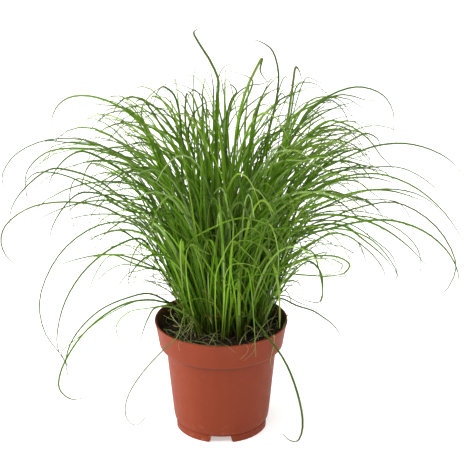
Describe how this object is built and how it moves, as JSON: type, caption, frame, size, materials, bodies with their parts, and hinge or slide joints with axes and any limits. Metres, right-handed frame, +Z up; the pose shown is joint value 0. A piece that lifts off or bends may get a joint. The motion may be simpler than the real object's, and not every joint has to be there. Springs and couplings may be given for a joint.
{
  "type": "potted umbrella sedge",
  "caption": "Grassy fountain of narrow arching sedge leaves, growing in dark soil in a round terracotta-coloured plastic nursery pot.",
  "frame": {"origin": "centre of the circle that the pot's foot ring stands on", "axes": "+Z up along the pot's axis, +X to the right and -Y to the front of the view in the picture"},
  "size_m": [0.4154, 0.2966, 0.3631],
  "materials": {
    "pot_plastic": "satin moulded plastic, terracotta colour",
    "potting_soil": "damp dark potting peat",
    "sedge_leaf": "slightly waxy fresh green leaf"
  },
  "bodies": {
    "root": {"pot": "pot_plastic", "soil": "potting_soil", "shoot_01": "sedge_leaf", "shoot_02": "sedge_leaf", "shoot_03": "sedge_leaf", "shoot_04": "sedge_leaf", "shoot_05": "sedge_leaf", "shoot_06": "sedge_leaf", "shoot_07": "sedge_leaf", "shoot_08": "sedge_leaf", "shoot_09": "sedge_leaf", "shoot_10": "sedge_leaf", "shoot_11": "sedge_leaf", "shoot_12": "sedge_leaf", "shoot_13": "sedge_leaf", "shoot_14": "sedge_leaf", "shoot_15": "sedge_leaf", "shoot_16": "sedge_leaf", "shoot_17": "sedge_leaf", "shoot_18": "sedge_leaf", "shoot_19": "sedge_leaf", "shoot_20": "sedge_leaf", "shoot_21": "sedge_leaf", "shoot_22": "sedge_leaf", "shoot_23": "sedge_leaf", "shoot_24": "sedge_leaf", "shoot_25": "sedge_leaf", "shoot_26": "sedge_leaf", "shoot_27": "sedge_leaf", "shoot_28": "sedge_leaf", "shoot_29": "sedge_leaf", "shoot_30": "sedge_leaf", "shoot_31": "sedge_leaf", "shoot_32": "sedge_leaf", "shoot_33": "sedge_leaf", "shoot_34": "sedge_leaf", "shoot_35": "sedge_leaf", "shoot_36": "sedge_leaf", "shoot_37": "sedge_leaf", "shoot_38": "sedge_leaf", "shoot_39": "sedge_leaf", "shoot_40": "sedge_leaf", "shoot_41": "sedge_leaf", "shoot_42": "sedge_leaf", "shoot_43": "sedge_leaf", "shoot_44": "sedge_leaf", "shoot_45": "sedge_leaf", "shoot_46": "sedge_leaf"}
  },
  "joints": []
}
